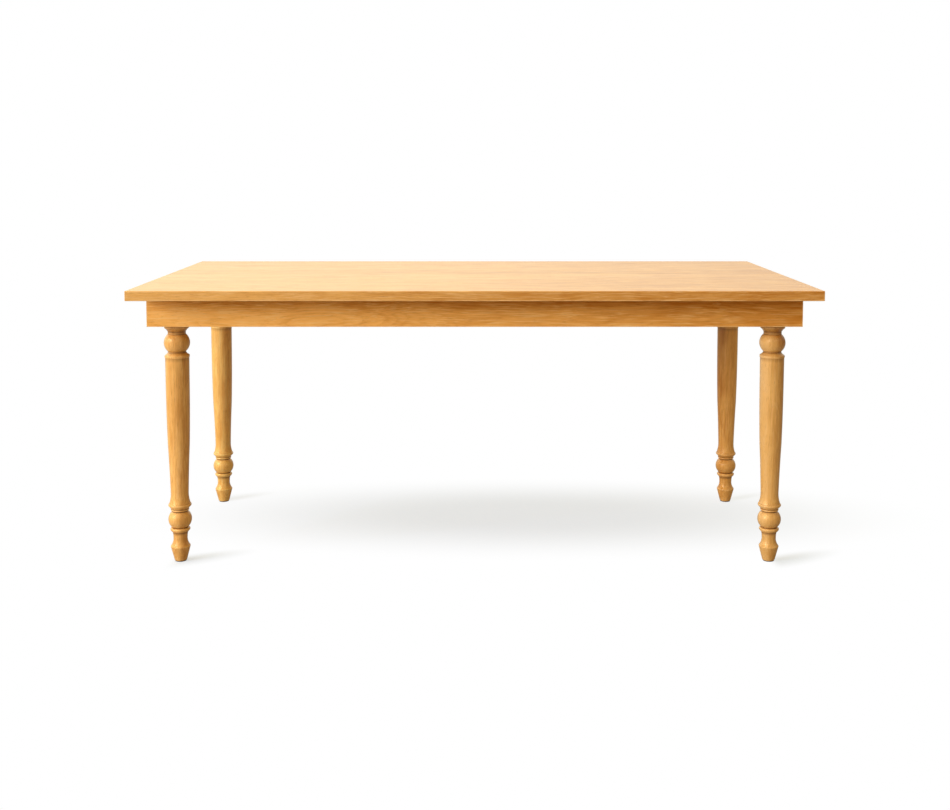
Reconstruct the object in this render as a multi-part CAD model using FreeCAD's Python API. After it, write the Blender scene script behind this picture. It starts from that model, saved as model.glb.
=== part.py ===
"""A rectangular dining table in solid oak.

An edge-glued top of six boards lies on a mitred apron frame. Four turned legs stand inside the
frame's corners, where hanger bolts draw them against diagonal braces. Two cross bearers tie the
long rails, and wooden buttons hold the top down while it swells and shrinks across its grain.

Sizes are in millimetres. The origin is on the floor under the middle of the table, with +X along
its length to the right, +Y to the back and +Z up.
"""
import FreeCAD, Part
import math
import os
from FreeCAD import Vector

# Driving sizes of the whole table
table_length = 1800.0
table_width = 900.0
table_height = 760.0

# Top: boards side by side along the length, eased at the outer edges
top_thickness = 26.0
board_count = 6
top_arris = 1.5

# Apron frame under the top, mitred at its corners
end_overhang = 30.0
side_overhang = 96.0
apron_height = 80.0
rail_thickness = 26.0
rail_arris = 1.0

# Edge biscuits that line up the boards, and the same biscuits across each mitre
biscuit_length = 56.0
biscuit_width = 23.0
biscuit_thickness = 4.0
biscuit_end_width = 7.0
biscuits_per_seam = 6
biscuit_end_margin = 150.0
mitre_biscuit_inset = 14.0

# Leg block in the frame's corner, with a facet that faces the brace
leg_block = 76.0
leg_facet_cut = 14.0

# Diagonal brace across each corner
brace_gap = 4.0
brace_thickness = 28.0
brace_height = 56.0
brace_arris = 1.5
brace_screw_grip = 15.0
brace_screw_spread = 36.0

# Hanger bolt: wood thread in the leg, machine thread through the brace
bolt_length = 85.0
bolt_bite = 40.0
bolt_wood_length = 42.0
bolt_wood_radius = 3.6
bolt_radius = 4.0
bolt_tip_length = 6.0
bolt_chamfer = 0.8
bolt_spread = 32.0
bolt_hole_play = 0.5
washer_radius = 11.0
washer_thickness = 1.6
nut_width = 13.0
nut_thickness = 6.5
nut_chamfer = 0.9

# Wood screws: one pan head for all, in three lengths
screw_radius = 2.0
screw_head_radius = 4.2
screw_head_height = 2.8
screw_head_edge = 1.0
screw_tip_length = 5.0
screw_drive_width = 2.6
screw_drive_depth = 1.6
brace_screw_length = 35.0
bearer_screw_length = 55.0
button_screw_length = 32.0
screw_head_play = 0.8

# Cross bearers, tenoned into the long rails and screwed up into the top
bearer_thickness = 30.0
bearer_height = 60.0
bearer_tenon_thickness = 10.0
bearer_tenon_height = 40.0
bearer_tenon_length = 12.0
bearer_arris = 1.5
bearer_screw_bite = 17.0
bearer_slot_play = 8.0

# Buttons that hook into the rails and are screwed up into the top
button_width = 30.0
button_body_length = 34.0
button_tongue_length = 9.0
button_tongue_thickness = 8.0
button_tongue_drop = 12.0
button_standoff = 1.5
button_top_gap = 0.4
button_side_play = 2.0
button_round = 2.0

# Places along the free span of a rail between its braces, as shares of half that span
bearer_place_share = 0.56
long_rail_button_shares = (0.30, 0.83)
end_rail_button_shares = (0.55,)

# Felt glide under each foot
glide_radius = 15.5
glide_thickness = 2.5

# Leg turning from the floor up: the tapered foot and the waisted neck above it
toe_radius = 16.9
toe_round = 1.4
foot_height = 35.3
shoulder_radius = 26.1
shoulder_lip = 3.4
shoulder_bulge = 0.5
flare_height = 21.0
neck_radius = 18.8
neck_height = 19.2
neck_top_radius = 21.0

# The small low ring, the lower ball and the groove at its top
low_fillet_height = 1.4
low_fillet_radius = 23.4
low_ring_height = 9.2
low_ring_radius = 23.8
low_ring_bulge = 3.1
groove_height = 1.0
ball_seat_radius = 21.2
ball_height = 44.2
ball_bulge = 10.2
ball_groove_height = 2.4

# The bead, slope and ring under the shaft, and the flare that rises from them
bead_radius = 24.0
bead_height = 3.6
bead_bulge = 0.9
ring_slope_foot_radius = 23.4
ring_slope_height = 6.6
ring_slope_radius = 28.2
ring_slope_hollow = 0.6
ring_lip = 1.4
ring_radius = 29.6
ring_height = 6.8
ring_bulge = 1.5
ring_flare_radius = 28.8
ring_flare_height = 28.8

# The shaft: it swells from its waist and ends as a straight cylinder
shaft_waist_radius = 23.9
shaft_swell_radius = 29.1
shaft_taper_hollow = 0.5
shaft_swell_bulge = 0.65
shaft_top_narrowing = 0.3
shaft_radius = 32.1
shaft_taper_share = 0.36
shaft_straight_share = 0.15

# The collar over the shaft, the upper ball and the cone that meets the apron
collar_step = 0.9
collar_height = 5.8
collar_bulge = 0.4
slope_height = 9.0
slope_radius = 23.4
slope_hollow = 0.9
upper_seat_radius = 24.2
upper_groove_height = 1.8
upper_ball_height = 46.6
upper_ball_bulge = 10.4
upper_fillet_radius = 24.0
upper_fillet_groove = 1.0
upper_fillet_depth = 0.8
upper_fillet_height = 6.5
cone_height = 9.9
cone_radius = 32.6
cone_hollow = 0.6
cap_step = 0.5
cap_height = 10.5

# Fits: glued or screwed wood to wood, a loose thread, and how far a cut runs past its face
wood_fit = 0.1
thread_fit = 0.1
socket_depth_play = 1.0
overrun = 20.0

# Levels and faces that the pieces share
top_underside = table_height - top_thickness
apron_bottom = top_underside - apron_height
apron_middle = top_underside - apron_height / 2
frame_x = table_length / 2 - end_overhang
frame_y = table_width / 2 - side_overhang
inner_x = frame_x - rail_thickness
inner_y = frame_y - rail_thickness
board_width = table_width / board_count

# Distances from a corner of the frame's inside, along the diagonal to the table's middle
root_two = math.sqrt(2)
facet_reach = (2 * leg_block - leg_facet_cut) / root_two
brace_front = facet_reach + brace_gap
brace_back = brace_front + brace_thickness
brace_end_reach = root_two * brace_back
brace_screw_reach = root_two * (brace_front + brace_back) / 2

corners = {
    "front_left": (-1, -1),
    "front_right": (1, -1),
    "back_left": (-1, 1),
    "back_right": (1, 1),
}


def box(low, high):
    """A block between two opposite corners."""
    size = high - low
    return Part.makeBox(size.x, size.y, size.z, low)


def rod(radius, start, end):
    """A round bar from one point to another."""
    return Part.makeCylinder(radius, (end - start).Length, start, end - start)


def prism(points, height):
    """A flat outline of corner points, raised by a height."""
    return Part.Face(Part.makePolygon(points + points[:1])).extrude(Vector(0, 0, height))


def placed(shape, point, angle):
    """A copy turned about the vertical by an angle in degrees, then moved to a point."""
    copy = shape.copy()
    turn = FreeCAD.Placement(point, FreeCAD.Rotation(Vector(0, 0, 1), angle))
    copy.Placement = turn.multiply(copy.Placement)
    return copy


def revolved(edges):
    """A solid of revolution about the vertical axis from the edges of half its section."""
    face = Part.Face(Part.Wire(edges))
    return face.revolve(Vector(0, 0, 0), Vector(0, 0, 1), 360)


def eased(solid, radius, wanted):
    """The solid with a small round on each straight edge that the test picks."""
    return solid.makeFillet(radius, [edge for edge in solid.Edges if wanted(edge)])


def save(name, solids):
    """One file for one node: a single solid, or a group of like solids."""
    shape = solids[0] if len(solids) == 1 else Part.makeCompound(solids)
    shape.exportStep("parts/" + name + ".step")
    print(name, len(shape.Solids), "solids, valid", shape.isValid())


class Turning:
    """Half the outline of a turned piece, walked upward as radius and height."""

    def __init__(self, radius, level):
        self.start = Vector(radius, 0, level)
        self.point = self.start
        self.edges = []

    def step(self, radius):
        """A flat step in or out to another radius."""
        end = Vector(radius, 0, self.point.z)
        self.edges.append(Part.LineSegment(self.point, end).toShape())
        self.point = end

    def rise(self, height, radius, bulge=0):
        """A slope to another radius, standing out by its bulge, or hollow where that is negative."""
        start = self.point
        end = Vector(radius, 0, start.z + height)
        if bulge:
            chord = end - start
            outward = Vector(chord.z, 0, -chord.x).normalize()
            middle = (start + end) / 2 + outward * bulge
            self.edges.append(Part.Arc(start, middle, end).toShape())
        else:
            self.edges.append(Part.LineSegment(start, end).toShape())
        self.point = end

    def cove(self, height, radius):
        """A hollow arc that is upright at its narrow end."""
        reach = abs(radius - self.point.x)
        chord = math.hypot(height, reach)
        bulge = chord / 2 * math.tan(math.atan2(reach, height) / 2)
        self.rise(height, radius, -bulge)

    def solid(self):
        """The turned solid, closed across its ends and along its axis."""
        top = Vector(0, 0, self.point.z)
        bottom = Vector(0, 0, self.start.z)
        ends = [(self.point, top), (top, bottom), (bottom, self.start)]
        lines = [Part.LineSegment(a, b).toShape() for a, b in ends if a != b]
        return revolved(self.edges + lines)


def corner_point(signs):
    """The inner corner of the frame, at floor level."""
    return Vector(signs[0] * inner_x, signs[1] * inner_y, 0)


def at_corner(shape, signs):
    """A copy of a shape made with its inner corner at the origin and the middle along +X."""
    angle = math.degrees(math.atan2(-signs[1], -signs[0]))
    return placed(shape, corner_point(signs), angle)


def leg_centre(signs):
    """The axis of a leg, half a block in from both rails."""
    inset = leg_block / 2
    return Vector(signs[0] * (inner_x - inset), signs[1] * (inner_y - inset), 0)


def biscuit(growth):
    """A lens-shaped biscuit lying flat about the origin, or its slot, larger by a growth."""
    half_length = biscuit_length / 2 + growth
    half_width = biscuit_width / 2 + growth
    half_end = biscuit_end_width / 2 + growth
    half_thickness = biscuit_thickness / 2 + growth
    low = -half_thickness
    front_left = Vector(-half_length, -half_end, low)
    front_right = Vector(half_length, -half_end, low)
    back_right = Vector(half_length, half_end, low)
    back_left = Vector(-half_length, half_end, low)
    outline = Part.Wire([
        Part.Arc(front_left, Vector(0, -half_width, low), front_right).toShape(),
        Part.LineSegment(front_right, back_right).toShape(),
        Part.Arc(back_right, Vector(0, half_width, low), back_left).toShape(),
        Part.LineSegment(back_left, front_left).toShape(),
    ])
    return Part.Face(outline).extrude(Vector(0, 0, 2 * half_thickness))


def seam_biscuits(growth):
    """The biscuits of every seam in the top, or their slots."""
    first_x = biscuit_end_margin - table_length / 2
    pitch = -2 * first_x / (biscuits_per_seam - 1)
    middle = top_underside + top_thickness / 2
    places = []
    for seam in range(1, board_count):
        y = seam * board_width - table_width / 2
        places += [Vector(first_x + k * pitch, y, middle) for k in range(biscuits_per_seam)]
    return [placed(biscuit(growth), place, 0) for place in places]


def mitre_biscuits(growth):
    """A biscuit on edge across each mitre of the frame, or its slot."""
    upright = biscuit(growth)
    place = Vector(-mitre_biscuit_inset, 0, apron_middle)
    upright.Placement = FreeCAD.Placement(place, FreeCAD.Rotation(Vector(0, 1, 0), 90))
    return [at_corner(upright, signs) for signs in corners.values()]


def wood_screw(length):
    """A pan-head wood screw that points up +Z, with the underside of its head at the origin."""
    crown = Vector(0, 0, -screw_head_height)
    rim = Vector(screw_head_radius, 0, -screw_head_edge)
    dome = Vector(screw_head_radius * math.sin(math.pi / 4), 0, 0)
    dome.z = -screw_head_edge - (screw_head_height - screw_head_edge) * math.cos(math.pi / 4)
    points = [
        rim,
        Vector(screw_head_radius, 0, 0),
        Vector(screw_radius, 0, 0),
        Vector(screw_radius, 0, length - screw_tip_length),
        Vector(0, 0, length),
        crown,
    ]
    edges = [Part.Arc(crown, dome, rim).toShape()]
    edges += [Part.LineSegment(a, b).toShape() for a, b in zip(points, points[1:])]
    half_drive = screw_drive_width / 2
    socket_top = -screw_head_height - screw_drive_depth
    socket = box(Vector(-half_drive, -half_drive, socket_top),
                 Vector(half_drive, half_drive, screw_drive_depth - screw_head_height))
    return revolved(edges).cut(socket)


def screw_pilot(length):
    """The hole for a wood screw's shank."""
    return rod(screw_radius + wood_fit, Vector(0, 0, 0), Vector(0, 0, length + wood_fit))


def screw_bore(length, access):
    """The hole for a wood screw, with a bore for its head that reaches back by an access."""
    head = rod(screw_head_radius + screw_head_play, Vector(0, 0, -access), Vector(0, 0, 0))
    return head.fuse(screw_pilot(length))


def hanger_bolt():
    """A hanger bolt along +Z from its buried tip."""
    turning = Turning(0, 0)
    turning.rise(bolt_tip_length, bolt_wood_radius)
    turning.rise(bolt_wood_length - bolt_tip_length, bolt_wood_radius)
    turning.step(bolt_radius)
    turning.rise(bolt_length - bolt_wood_length - bolt_chamfer, bolt_radius)
    turning.rise(bolt_chamfer, bolt_radius - bolt_chamfer)
    return turning.solid()


def along_diagonal(shape, reach, level):
    """A shape made along +Z, laid along the corner's diagonal from a reach, at a level."""
    copy = shape.copy()
    lay_down = FreeCAD.Rotation(Vector(0, 1, 0), 90)
    copy.Placement = FreeCAD.Placement(Vector(reach, 0, level), lay_down)
    return copy


def bolt_levels():
    """The heights of the two bolts of each corner."""
    return [apron_middle - bolt_spread / 2, apron_middle + bolt_spread / 2]


def corner_hardware(shape, reach):
    """Two copies of a shape in each corner, one on each bolt's line."""
    pair = [along_diagonal(shape, reach, level) for level in bolt_levels()]
    return [at_corner(item, signs) for signs in corners.values() for item in pair]


def washer():
    """A flat washer with its seat at the origin."""
    top = Vector(0, 0, washer_thickness)
    hole = bolt_radius + bolt_hole_play
    return rod(washer_radius, Vector(0, 0, 0), top).cut(rod(hole, Vector(0, 0, 0), top))


def nut():
    """A hexagon nut with its seat at the origin and its outer corners turned off."""
    across = nut_width / 2
    points = []
    for k in range(6):
        angle = math.radians(60 * k)
        corner = across / math.cos(math.pi / 6)
        points.append(Vector(corner * math.cos(angle), corner * math.sin(angle), 0))
    body = prism(points, nut_thickness)
    crown = Turning(across + nut_chamfer, 0)
    crown.rise(nut_thickness - nut_chamfer, across + nut_chamfer)
    crown.rise(nut_chamfer, across)
    thread = rod(bolt_radius + thread_fit, Vector(0, 0, 0), Vector(0, 0, nut_thickness))
    return body.common(crown.solid()).cut(thread)


def brace_screws(shape):
    """A shape on the line of each brace screw, made along +Z with its head's seat at the origin.

    A screw's line is square to its rail, halfway along the brace's end.
    """
    placed_shapes = []
    half_spread = brace_screw_spread / 2
    diagonal = Vector(1, 0, 0)
    for turn in (-45, 45):
        along_rail = FreeCAD.Rotation(Vector(0, 0, 1), -turn).multVec(diagonal)
        away = FreeCAD.Rotation(Vector(0, 0, 1), turn).multVec(diagonal)
        seat = along_rail * brace_screw_reach + away * brace_screw_grip
        for level in (apron_middle - half_spread, apron_middle + half_spread):
            copy = shape.copy()
            aim = FreeCAD.Rotation(Vector(0, 0, 1), away * -1)
            copy.Placement = FreeCAD.Placement(seat + Vector(0, 0, level), aim)
            placed_shapes.append(copy)
    return [at_corner(item, signs) for signs in corners.values() for item in placed_shapes]


def corner_brace():
    """A brace across the corner at the origin, its ends flat on both rails."""
    low = apron_middle - brace_height / 2
    points = [
        Vector(brace_front, -brace_front, low),
        Vector(brace_back, -brace_back, low),
        Vector(brace_back, brace_back, low),
        Vector(brace_front, brace_front, low),
    ]
    body = prism(points, brace_height)
    long_edge = 2 * brace_back - brace_arris
    return eased(body, brace_arris, lambda edge: edge.Length > long_edge)


def bolt_bores():
    """The bolts' clearance through the braces, in all corners."""
    start = Vector(0, 0, brace_front - overrun)
    end = Vector(0, 0, brace_back + overrun)
    return corner_hardware(rod(bolt_radius + bolt_hole_play, start, end), 0)


def leg_pilots():
    """The bolts' pilot holes in the legs, in all corners."""
    start = Vector(0, 0, facet_reach - bolt_bite - socket_depth_play)
    end = Vector(0, 0, brace_front)
    return corner_hardware(rod(bolt_wood_radius + thread_fit, start, end), 0)


def lower_turning(turning):
    """The foot, neck, low ring, lower ball, bead and ring, up to the shaft's waist."""
    turning.rise(toe_round, toe_radius, toe_round * (1 - math.cos(math.pi / 4)))
    turning.rise(foot_height, shoulder_radius)
    turning.rise(shoulder_lip, shoulder_radius, shoulder_bulge)
    turning.cove(flare_height, neck_radius)
    turning.cove(neck_height, neck_top_radius)
    turning.step(low_fillet_radius)
    turning.rise(low_fillet_height, low_fillet_radius)
    turning.rise(low_ring_height, low_ring_radius, low_ring_bulge)
    turning.step(ball_seat_radius)
    turning.rise(groove_height, ball_seat_radius)
    turning.rise(ball_height, ball_seat_radius, ball_bulge)
    turning.rise(ball_groove_height, ball_seat_radius)
    turning.step(bead_radius)
    turning.rise(bead_height, bead_radius, bead_bulge)
    turning.step(ring_slope_foot_radius)
    turning.rise(ring_slope_height, ring_slope_radius, -ring_slope_hollow)
    turning.rise(ring_lip, ring_slope_radius)
    turning.step(ring_radius)
    turning.rise(ring_height, ring_radius, ring_bulge)
    turning.step(ring_flare_radius)
    turning.cove(ring_flare_height, shaft_waist_radius)


def upper_turning(turning):
    """The collar, slope, upper ball, fillet, cone and cap that end under the apron."""
    turning.step(shaft_radius + collar_step)
    turning.rise(collar_height, shaft_radius + collar_step, collar_bulge)
    turning.rise(slope_height, slope_radius, -slope_hollow)
    turning.step(upper_seat_radius)
    turning.rise(upper_groove_height, upper_seat_radius)
    turning.rise(upper_ball_height, upper_seat_radius, upper_ball_bulge)
    turning.step(upper_fillet_radius - upper_fillet_depth)
    turning.rise(upper_fillet_groove, upper_fillet_radius - upper_fillet_depth)
    turning.step(upper_fillet_radius)
    turning.rise(upper_fillet_height, upper_fillet_radius)
    turning.rise(cone_height, cone_radius, -cone_hollow)
    turning.step(cone_radius + cap_step)
    turning.rise(cap_height, cone_radius + cap_step)


def turned_part():
    """The whole turning below the block; the shaft takes the height that the members leave."""
    trial = Turning(shaft_radius, 0)
    upper_turning(trial)
    shaft_top = apron_bottom - trial.point.z
    turning = Turning(toe_radius - toe_round, glide_thickness)
    lower_turning(turning)
    shaft_height = shaft_top - turning.point.z
    straight = shaft_height * shaft_straight_share
    taper = shaft_height * shaft_taper_share
    turning.rise(taper, shaft_swell_radius, -shaft_taper_hollow)
    turning.rise(shaft_height - taper - straight, shaft_radius - shaft_top_narrowing,
                 shaft_swell_bulge)
    turning.rise(straight, shaft_radius)
    upper_turning(turning)
    return turning.solid()


def leg_facet():
    """What is cut from the block's inner corner, in a corner at the origin."""
    return box(Vector(facet_reach, -leg_block, apron_bottom - overrun),
               Vector(facet_reach + leg_block, leg_block, top_underside + overrun))


def leg(signs, turned, pilots):
    """A turned leg with its square block standing in the corner of the frame."""
    centre = leg_centre(signs)
    half = Vector(leg_block / 2, leg_block / 2, 0)
    block = box(centre - half + Vector(0, 0, apron_bottom),
                centre + half + Vector(0, 0, top_underside))
    whole = block.fuse(placed(turned, centre, 0))
    return whole.cut([at_corner(leg_facet(), signs)] + pilots)


def top_board(index, cuts):
    """One board of the top, eased only where it is an outer edge of the top."""
    half_length = table_length / 2
    half_width = table_width / 2
    front = index * board_width - half_width
    board = box(Vector(-half_length, front, top_underside),
                Vector(half_length, front + board_width, table_height))

    def outer(edge):
        middle = edge.CenterOfMass
        on_end = abs(abs(middle.x) - half_length) < wood_fit
        on_side = abs(abs(middle.y) - half_width) < wood_fit
        across = abs(middle.y - front - board_width / 2) < wood_fit
        along = abs(middle.x) < wood_fit
        return (on_end and (across or on_side)) or (on_side and along)

    return eased(board, top_arris, outer).cut(cuts)


def rail(points, cuts):
    """One rail of the frame from its plan, eased along its lower outer edge."""
    body = prism([point + Vector(0, 0, apron_bottom) for point in points], apron_height)
    start, end = points[0], points[1]
    outer_middle = (start + end) / 2 + Vector(0, 0, apron_bottom)
    wanted = lambda edge: (edge.CenterOfMass - outer_middle).Length < wood_fit
    return eased(body, rail_arris, wanted).cut(cuts)


def rail_plans():
    """The plan of each mitred rail, its outer edge first."""
    plans = {}
    for name, sign in (("front_rail", -1), ("back_rail", 1)):
        plans[name] = [Vector(-frame_x, sign * frame_y, 0), Vector(frame_x, sign * frame_y, 0),
                       Vector(inner_x, sign * inner_y, 0), Vector(-inner_x, sign * inner_y, 0)]
    for name, sign in (("left_rail", -1), ("right_rail", 1)):
        plans[name] = [Vector(sign * frame_x, -frame_y, 0), Vector(sign * frame_x, frame_y, 0),
                       Vector(sign * inner_x, inner_y, 0), Vector(sign * inner_x, -inner_y, 0)]
    return plans


def bearer_x(side):
    """The middle of a bearer, a share of the free span out from the table's middle."""
    return side * bearer_place_share * (inner_x - brace_end_reach)


def bearer_tenons(side, growth, depth_play):
    """A bearer's two tenons, or the mortises for them."""
    middle = top_underside - bearer_height / 2
    half_x = bearer_tenon_thickness / 2 + growth
    half_z = bearer_tenon_height / 2 + growth
    reach = inner_y + bearer_tenon_length + depth_play
    return box(Vector(bearer_x(side) - half_x, -reach, middle - half_z),
               Vector(bearer_x(side) + half_x, reach, middle + half_z))


def bearer_screw_places():
    """A screw up through each bearer in the middle of each board that lies wholly between the rails."""
    grip = bearer_screw_length - bearer_screw_bite
    places = []
    for index in range(board_count):
        y = (index + 1 / 2) * board_width - table_width / 2
        if abs(y) + board_width / 2 < inner_y:
            places.append((y, top_underside - grip))
    return places


def bearer_slot(radius, low, high):
    """An upright slot, longer across the boards so that they may swell."""
    half_play = bearer_slot_play / 2
    ends = [rod(radius, Vector(0, y, low), Vector(0, y, high)) for y in (-half_play, half_play)]
    middle = box(Vector(-radius, -half_play, low), Vector(radius, half_play, high))
    return ends[0].fuse(ends[1]).fuse(middle)


def cross_bearer(side):
    """A bearer between the long rails, with its tenons and slotted screw holes."""
    half_x = bearer_thickness / 2
    low = top_underside - bearer_height
    body = box(Vector(bearer_x(side) - half_x, -inner_y, low),
               Vector(bearer_x(side) + half_x, inner_y, top_underside))
    lower_long = lambda edge: edge.Length > inner_y and edge.CenterOfMass.z < low + wood_fit
    body = eased(body, bearer_arris, lower_long)
    cuts = []
    for y, seat in bearer_screw_places():
        place = Vector(bearer_x(side), y, 0)
        shank = bearer_slot(screw_radius + wood_fit, low - overrun, top_underside + overrun)
        head = bearer_slot(screw_head_radius + screw_head_play, low - overrun, seat)
        cuts += [placed(shank, place, 0), placed(head, place, 0)]
    return body.fuse(bearer_tenons(side, 0, 0)).cut(cuts)


def bearer_screws(shape):
    """A shape on each bearer screw's line, made along +Z with its head's seat at the origin."""
    return [placed(shape, Vector(bearer_x(side), y, seat), 0)
            for side in (-1, 1) for y, seat in bearer_screw_places()]


def button_places():
    """The point on each rail's inner face under the top, and the angle of the way in."""
    places = []
    free_x = inner_x - brace_end_reach
    free_y = inner_y - brace_end_reach
    for sign in (-1, 1):
        for share in long_rail_button_shares:
            places.append((Vector(sign * share * free_x, -inner_y, top_underside), 90))
            places.append((Vector(sign * share * free_x, inner_y, top_underside), -90))
        for share in end_rail_button_shares:
            places.append((Vector(-inner_x, sign * share * free_y, top_underside), 0))
            places.append((Vector(inner_x, sign * share * free_y, top_underside), 180))
    return places


def button():
    """A button that points into the table along +X, with the rail's inner face at the origin."""
    half_width = button_width / 2
    bottom = -button_tongue_drop - button_tongue_thickness
    end = button_standoff + button_body_length
    body = box(Vector(button_standoff, -half_width, bottom), Vector(end, half_width, -button_top_gap))
    free_end = lambda edge: edge.CenterOfMass.x > end - wood_fit and edge.Length < button_width
    body = eased(body, button_round, free_end)
    tongue = box(Vector(-button_tongue_length, -half_width, bottom),
                 Vector(end - button_round, half_width, -button_tongue_drop - wood_fit))
    screw = screw_bore(button_screw_length, overrun)
    place = Vector(button_standoff + button_body_length / 2, 0, bottom)
    return body.fuse(tongue).cut(placed(screw, place, 0))


def button_mortise():
    """The pocket in a rail for a button's tongue, with room for it to slide sideways."""
    half_width = button_width / 2 + button_side_play
    bottom = -button_tongue_drop - button_tongue_thickness - wood_fit
    return box(Vector(-button_tongue_length - socket_depth_play, -half_width, bottom),
               Vector(overrun, half_width, -button_tongue_drop))


def at_buttons(shape):
    """A copy of a shape at every button's place."""
    return [placed(shape, place, angle) for place, angle in button_places()]


def button_screws(shape):
    """A shape on each button screw's line, made along +Z with its head's seat at the origin."""
    bottom = -button_tongue_drop - button_tongue_thickness
    seat = Vector(button_standoff + button_body_length / 2, 0, bottom)
    return at_buttons(placed(shape, seat, 0))


def foot_glide(signs):
    """A felt disc under a foot."""
    centre = leg_centre(signs)
    return rod(glide_radius, centre, centre + Vector(0, 0, glide_thickness))


def make_top():
    """The boards of the top and the biscuits between them."""
    cuts = seam_biscuits(wood_fit)
    cuts += bearer_screws(screw_pilot(bearer_screw_length))
    cuts += button_screws(screw_pilot(button_screw_length))
    for index in range(board_count):
        save("top_board_" + str(index + 1), [top_board(index, cuts)])
    save("top_biscuits", seam_biscuits(0))


def make_frame():
    """The mitred rails, their biscuits, the bearers and their screws."""
    cuts = mitre_biscuits(wood_fit) + at_buttons(button_mortise())
    cuts += [bearer_tenons(side, wood_fit, socket_depth_play) for side in (-1, 1)]
    cuts += brace_screws(screw_pilot(brace_screw_length))
    for name, points in rail_plans().items():
        save(name, [rail(points, cuts)])
    save("mitre_biscuits", mitre_biscuits(0))
    save("left_cross_bearer", [cross_bearer(-1)])
    save("right_cross_bearer", [cross_bearer(1)])
    save("bearer_screws", bearer_screws(wood_screw(bearer_screw_length)))


def make_corners():
    """The legs, the braces that hold them, their bolts and screws, and the glides."""
    turned = turned_part()
    pilots = leg_pilots()
    brace_cuts = bolt_bores() + brace_screws(screw_bore(brace_screw_length, brace_thickness))
    for name, signs in corners.items():
        save("leg_" + name, [leg(signs, turned, pilots)])
        save("corner_brace_" + name, [at_corner(corner_brace(), signs).cut(brace_cuts)])
        save("foot_glide_" + name, [foot_glide(signs)])
    save("hanger_bolts", corner_hardware(hanger_bolt(), facet_reach - bolt_bite))
    save("bolt_washers", corner_hardware(washer(), brace_back))
    save("bolt_nuts", corner_hardware(nut(), brace_back + washer_thickness))
    save("brace_screws", brace_screws(wood_screw(brace_screw_length)))


def make_buttons():
    """The buttons along the frame and their screws."""
    save("top_buttons", at_buttons(button()))
    save("button_screws", button_screws(wood_screw(button_screw_length)))


os.makedirs("parts", exist_ok=True)
make_top()
make_frame()
make_corners()
make_buttons()
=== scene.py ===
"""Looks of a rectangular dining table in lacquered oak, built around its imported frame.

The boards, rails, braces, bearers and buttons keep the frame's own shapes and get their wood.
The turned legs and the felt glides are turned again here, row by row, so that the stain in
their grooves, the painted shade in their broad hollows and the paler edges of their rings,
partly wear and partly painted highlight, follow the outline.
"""
import functools
import math

import bpy
import numpy as np
from bpy.props import FloatProperty, FloatVectorProperty, IntProperty, PointerProperty
from mathutils import Matrix, Vector


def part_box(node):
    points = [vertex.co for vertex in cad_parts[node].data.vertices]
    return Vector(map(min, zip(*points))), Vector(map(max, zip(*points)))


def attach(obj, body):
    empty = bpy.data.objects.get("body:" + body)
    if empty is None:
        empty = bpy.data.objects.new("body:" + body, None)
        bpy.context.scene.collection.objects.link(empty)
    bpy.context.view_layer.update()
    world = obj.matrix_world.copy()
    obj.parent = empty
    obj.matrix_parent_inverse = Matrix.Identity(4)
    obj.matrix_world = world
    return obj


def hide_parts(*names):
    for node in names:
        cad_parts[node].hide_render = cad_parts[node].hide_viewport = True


bl_info = {
    "name": "Rectangular dining table",
    "version": (1, 0, 0),
    "blender": (4, 5, 0),
    "location": "View3D > Sidebar > Dining table",
    "description": "Woods, finishes, turned legs and studio of an oak dining table",
    "category": "Object",
}

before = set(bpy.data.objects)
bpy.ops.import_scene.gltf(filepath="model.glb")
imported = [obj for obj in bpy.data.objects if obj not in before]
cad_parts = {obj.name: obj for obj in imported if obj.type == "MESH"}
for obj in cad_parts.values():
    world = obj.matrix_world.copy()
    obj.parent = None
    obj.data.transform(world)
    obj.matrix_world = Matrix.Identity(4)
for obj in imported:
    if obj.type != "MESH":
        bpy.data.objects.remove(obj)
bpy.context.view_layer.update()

MILLIMETRE = 0.001
PER_METRE = 1000
TINY = 1e-6
WHITE = (1.0, 1.0, 1.0, 1.0)
BODY = "root"
BOARDS = range(1, 7)
LEG_SIDES = {"front_left": (-1, -1), "front_right": (1, -1), "back_left": (-1, 1),
             "back_right": (1, 1)}
TOP_FACE = 760  # height of the table's face, in millimetres

# The leg's outline in millimetres, walked up from the top of its glide. A step changes the
# radius alone. A rise is its height, the radius where it ends and how far it stands out. A cove
# is a hollow that is upright at its narrow end.
LEG_FOOT = (
    ("rise", 1.4, 16.9, 0.41), ("rise", 35.3, 26.1, 0.0), ("rise", 3.4, 26.1, 0.5),
    ("cove", 21.0, 18.8), ("cove", 19.2, 21.0), ("step", 23.4),
    ("rise", 1.4, 23.4, 0.0), ("rise", 9.2, 23.8, 3.1), ("step", 21.2),
    ("rise", 1.0, 21.2, 0.0), ("rise", 44.2, 21.2, 10.2), ("rise", 2.4, 21.2, 0.0),
    ("step", 24.0), ("rise", 3.6, 24.0, 0.9), ("step", 23.4), ("rise", 6.6, 28.2, -0.6),
    ("rise", 1.4, 28.2, 0.0), ("step", 29.6), ("rise", 6.8, 29.6, 1.5), ("step", 28.8),
    ("cove", 28.8, 23.9),
)
LEG_SHAFT = (
    ("rise", 134.89, 29.1, -0.5), ("rise", 183.60, 31.8, 0.65), ("rise", 56.21, 32.1, 0.0),
)
LEG_HEAD = (
    ("step", 33.0), ("rise", 5.8, 33.0, 0.4), ("rise", 9.0, 23.4, -0.9), ("step", 24.2),
    ("rise", 1.8, 24.2, 0.0), ("rise", 46.6, 24.2, 10.4), ("step", 23.2),
    ("rise", 1.0, 23.2, 0.0), ("step", 24.0), ("rise", 6.5, 24.0, 0.0),
    ("rise", 9.9, 32.6, -0.6), ("step", 33.1), ("rise", 10.5, 33.1, 0.0),
)
TOE_RADIUS = 15.5
BLOCK_SIDE = 76.0
BLOCK_FACET = 14.0

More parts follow.
